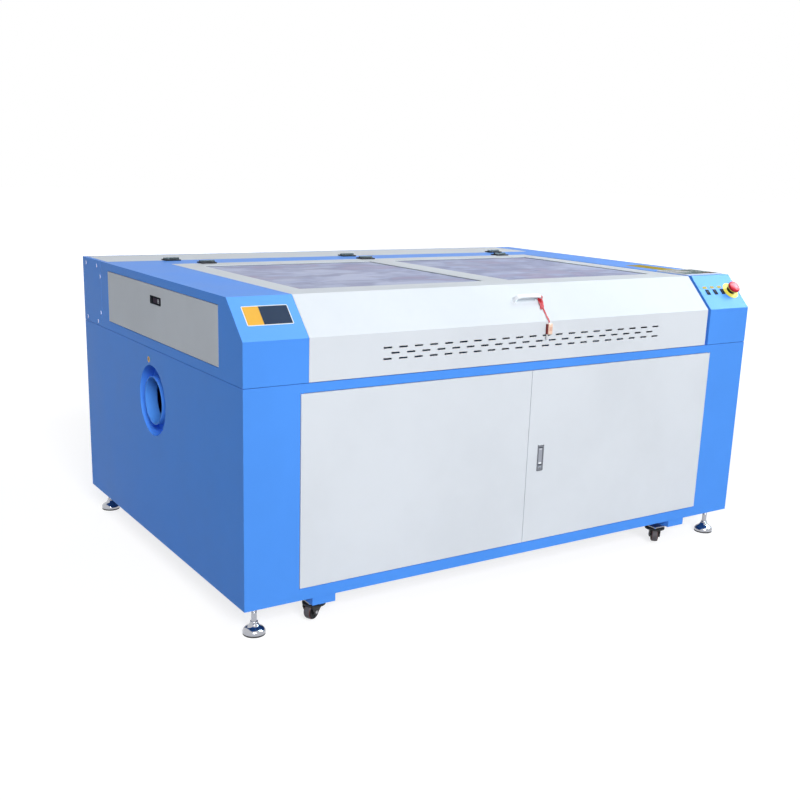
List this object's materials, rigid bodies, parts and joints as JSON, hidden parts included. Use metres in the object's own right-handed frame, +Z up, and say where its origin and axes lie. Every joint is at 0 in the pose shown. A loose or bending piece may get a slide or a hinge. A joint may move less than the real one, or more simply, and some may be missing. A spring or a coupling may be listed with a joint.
{
  "type": "carbon dioxide laser engraving machine",
  "caption": "Large floor-standing laser engraving cabinet with a sloped-front hinged lid, film-covered windows, double doors below, a moving gantry inside and levelling feet beside casters.",
  "frame": {"origin": "on the ground under the middle of the cabinet", "axes": "+X to the right along the machine's width, +Y from the front to the back, +Z up"},
  "size_m": [1.902, 1.3306, 0.932],
  "materials": {
    "blue_sheet": "satin powder coat",
    "white_sheet": "satin powder coat",
    "grey_sheet": "satin powder coat",
    "window_film": "smooth sheet under a protective film",
    "machined_aluminium": "satin machined",
    "plated_steel": "zinc plated",
    "bright_chrome": "polished",
    "dark_steel": "semi-gloss enamel",
    "clear_glass": "drawn glass",
    "grey_plastic": "moulded",
    "black_plastic": "moulded",
    "yellow_plastic": "moulded",
    "red_plastic": "moulded",
    "white_plastic": "moulded",
    "red_cord": "woven tape",
    "tag_plastic": "moulded",
    "caster_tyre": "grey tread on a dark core"
  },
  "bodies": {
    "machine": {"base_frame": "blue_sheet", "cabinet_left_panel": "blue_sheet", "cabinet_right_panel": "blue_sheet", "cabinet_back_panel": "blue_sheet", "front_frame": "blue_sheet", "deck": "blue_sheet", "exhaust_collar": "blue_sheet", "left_end_housing": "blue_sheet", "right_end_housing": "blue_sheet", "tube_bay": "blue_sheet", "tube_end_cover": "blue_sheet", "work_bed": "machined_aluminium", "y_rails": "plated_steel", "y_drive": "dark_steel", "laser_tube": "clear_glass", "tube_mounts": "black_plastic", "electronics": "grey_plastic", "keypad": "grey_plastic", "estop_base": "yellow_plastic", "switch_frames": "black_plastic", "fixed_hinge_leaves": "dark_steel"},
    "lid": {"lid_shell": "white_sheet", "lid_windows": "window_film", "lid_handle": "white_plastic", "lid_hinge_leaves": "dark_steel", "key_cord": "red_cord", "key_tag": "tag_plastic"},
    "cover": {"tube_bay_cover": "white_sheet", "cover_hinge_leaves": "dark_steel"},
    "left_door": {"door_left": "white_sheet"},
    "right_door": {"door_right": "white_sheet", "latch_plate": "plated_steel"},
    "door_latch": {"latch_paddle": "plated_steel"},
    "left_panel": {"side_panel": "grey_sheet"},
    "panel_latch": {"side_latch": "black_plastic"},
    "estop_button": {"estop_plunger": "black_plastic"},
    "estop_cap": {"estop_head": "red_plastic"},
    "switch_1": {"rocker_1": "black_plastic"},
    "switch_2": {"rocker_2": "black_plastic"},
    "switch_3": {"rocker_3": "black_plastic"},
    "gantry": {"gantry_beam": "machined_aluminium", "x_drive": "dark_steel"},
    "laser_head": {"carriage": "machined_aluminium"},
    "focus_tube": {"lens_tube": "machined_aluminium"},
    "drive_shaft": {"y_drive_shaft": "plated_steel"},
    "belt_idlers": {"y_idlers": "plated_steel"},
    "strut_bodies": {"strut_cylinders": "dark_steel"},
    "strut_pistons": {"strut_rods": "bright_chrome"},
    "levelling_foot_1": {"foot_1": "bright_chrome"},
    "levelling_foot_2": {"foot_2": "bright_chrome"},
    "levelling_foot_3": {"foot_3": "bright_chrome"},
    "levelling_foot_4": {"foot_4": "bright_chrome"},
    "fork_1": {"caster_fork_1": "dark_steel"},
    "wheel_1": {"caster_wheel_1": "caster_tyre"},
    "fork_2": {"caster_fork_2": "dark_steel"},
    "wheel_2": {"caster_wheel_2": "caster_tyre"},
    "fork_3": {"caster_fork_3": "dark_steel"},
    "wheel_3": {"caster_wheel_3": "caster_tyre"},
    "fork_4": {"caster_fork_4": "dark_steel"},
    "wheel_4": {"caster_wheel_4": "caster_tyre"}
  },
  "joints": [
    {"name": "lid_hinge", "type": "hinge", "parent": "machine", "child": "lid", "pos_m": [-0.005, 0.3085, 0.927], "axis": [-1, 0, 0], "range_deg": [0, 60]},
    {"name": "cover_hinge", "type": "hinge", "parent": "machine", "child": "cover", "pos_m": [-0.0115, 0.4335, 0.927], "axis": [1, 0, 0], "range_deg": [0, 85]},
    {"name": "left_door_hinge", "type": "hinge", "parent": "machine", "child": "left_door", "pos_m": [-0.7785, -0.657, 0.4], "axis": [0, 0, -1], "range_deg": [0, 110]},
    {"name": "right_door_hinge", "type": "hinge", "parent": "machine", "child": "right_door", "pos_m": [0.7755, -0.657, 0.4], "axis": [0, 0, 1], "range_deg": [0, 110]},
    {"name": "door_latch_hinge", "type": "hinge", "parent": "right_door", "child": "door_latch", "pos_m": [0.0532, -0.658, 0.4245], "axis": [-1, 0, 0], "range_deg": [0, 35]},
    {"name": "left_panel_hinge", "type": "hinge", "parent": "machine", "child": "left_panel", "pos_m": [-0.9465, -0.059, 0.7355], "axis": [0, -1, 0], "range_deg": [0, 90]},
    {"name": "panel_latch_slide", "type": "slide", "parent": "left_panel", "child": "panel_latch", "axis": [0, 1, 0], "range_m": [0, 0.012]},
    {"name": "estop_push", "type": "slide", "parent": "machine", "child": "estop_button", "axis": [0, 0.7141, -0.7001], "range_m": [0, 0.004], "stiffness_N_per_m": 500, "springref_m": -0.002},
    {"name": "estop_twist", "type": "hinge", "parent": "estop_button", "child": "estop_cap", "pos_m": [0.911, -0.62175, 0.88473], "axis": [0, -0.7141, 0.7001], "range_deg": [0, 45], "stiffness_Nm_per_rad": 0.02},
    {"name": "switch_1_rock", "type": "hinge", "parent": "machine", "child": "switch_1", "pos_m": [0.798, -0.60815, 0.8686], "axis": [-1, 0, 0], "range_deg": [0, 24]},
    {"name": "switch_2_rock", "type": "hinge", "parent": "machine", "child": "switch_2", "pos_m": [0.834, -0.60815, 0.8686], "axis": [-1, 0, 0], "range_deg": [0, 24]},
    {"name": "switch_3_rock", "type": "hinge", "parent": "machine", "child": "switch_3", "pos_m": [0.87, -0.60815, 0.8686], "axis": [-1, 0, 0], "range_deg": [0, 24]},
    {"name": "gantry_slide", "type": "slide", "parent": "machine", "child": "gantry", "axis": [0, -1, 0], "range_m": [0, 0.8]},
    {"name": "laser_head_slide", "type": "slide", "parent": "gantry", "child": "laser_head", "axis": [1, 0, 0], "range_m": [-0.6, 0.6]},
    {"name": "focus_slide", "type": "slide", "parent": "laser_head", "child": "focus_tube", "axis": [0, 0, 1], "range_m": [-0.005, 0.012]},
    {"name": "drive_shaft_turn", "type": "hinge", "parent": "machine", "child": "drive_shaft", "pos_m": [0, 0.35, 0.77], "axis": [1, 0, 0], "continuous": true},
    {"name": "belt_idlers_turn", "type": "hinge", "parent": "machine", "child": "belt_idlers", "pos_m": [0, -0.575, 0.77], "axis": [1, 0, 0], "continuous": true},
    {"name": "strut_swing", "type": "hinge", "parent": "machine", "child": "strut_bodies", "pos_m": [0, 0.24, 0.785], "axis": [-1, 0, 0], "range_deg": [0, 53.8]},
    {"name": "strut_slide", "type": "slide", "parent": "strut_bodies", "child": "strut_pistons", "axis": [0, -0.9578, 0.2873], "range_m": [0, 0.1504]},
    {"name": "foot_1_screw", "type": "slide", "parent": "machine", "child": "levelling_foot_1", "axis": [0, 0, -1], "range_m": [0, 0.03]},
    {"name": "foot_2_screw", "type": "slide", "parent": "machine", "child": "levelling_foot_2", "axis": [0, 0, -1], "range_m": [0, 0.03]},
    {"name": "foot_3_screw", "type": "slide", "parent": "machine", "child": "levelling_foot_3", "axis": [0, 0, -1], "range_m": [0, 0.03]},
    {"name": "foot_4_screw", "type": "slide", "parent": "machine", "child": "levelling_foot_4", "axis": [0, 0, -1], "range_m": [0, 0.03]},
    {"name": "caster_1_swivel", "type": "hinge", "parent": "machine", "child": "fork_1", "pos_m": [-0.712, -0.612, 0.0605], "axis": [0, 0, 1], "continuous": true},
    {"name": "caster_1_roll", "type": "hinge", "parent": "fork_1", "child": "wheel_1", "pos_m": [-0.72288, -0.61707, 0.0321], "axis": [0.4226, -0.9063, 0], "continuous": true},
    {"name": "caster_2_swivel", "type": "hinge", "parent": "machine", "child": "fork_2", "pos_m": [0.648, -0.612, 0.0605], "axis": [0, 0, 1], "continuous": true},
    {"name": "caster_2_roll", "type": "hinge", "parent": "fork_2", "child": "wheel_2", "pos_m": [0.63997, -0.62092, 0.0321], "axis": [0.7431, -0.6691, 0], "continuous": true},
    {"name": "caster_3_swivel", "type": "hinge", "parent": "machine", "child": "fork_3", "pos_m": [-0.712, 0.612, 0.0605], "axis": [0, 0, 1], "continuous": true},
    {"name": "caster_3_roll", "type": "hinge", "parent": "fork_3", "child": "wheel_3", "pos_m": [-0.718, 0.60161, 0.0321], "axis": [0.866, -0.5, 0], "continuous": true},
    {"name": "caster_4_swivel", "type": "hinge", "parent": "machine", "child": "fork_4", "pos_m": [0.648, 0.612, 0.0605], "axis": [0, 0, 1], "continuous": true},
    {"name": "caster_4_roll", "type": "hinge", "parent": "fork_4", "child": "wheel_4", "pos_m": [0.63618, 0.60992, 0.0321], "axis": [0.1736, -0.9848, 0], "continuous": true}
  ],
  "couplings": [
    {"joint": "strut_swing", "follows": "lid_hinge", "ratio": 0.89543},
    {"joint": "strut_slide", "follows": "lid_hinge", "m_per_rad": 0.14355},
    {"joint": "drive_shaft_turn", "follows": "gantry_slide", "rad_per_m": 76.336},
    {"joint": "belt_idlers_turn", "follows": "gantry_slide", "rad_per_m": 76.336}
  ]
}
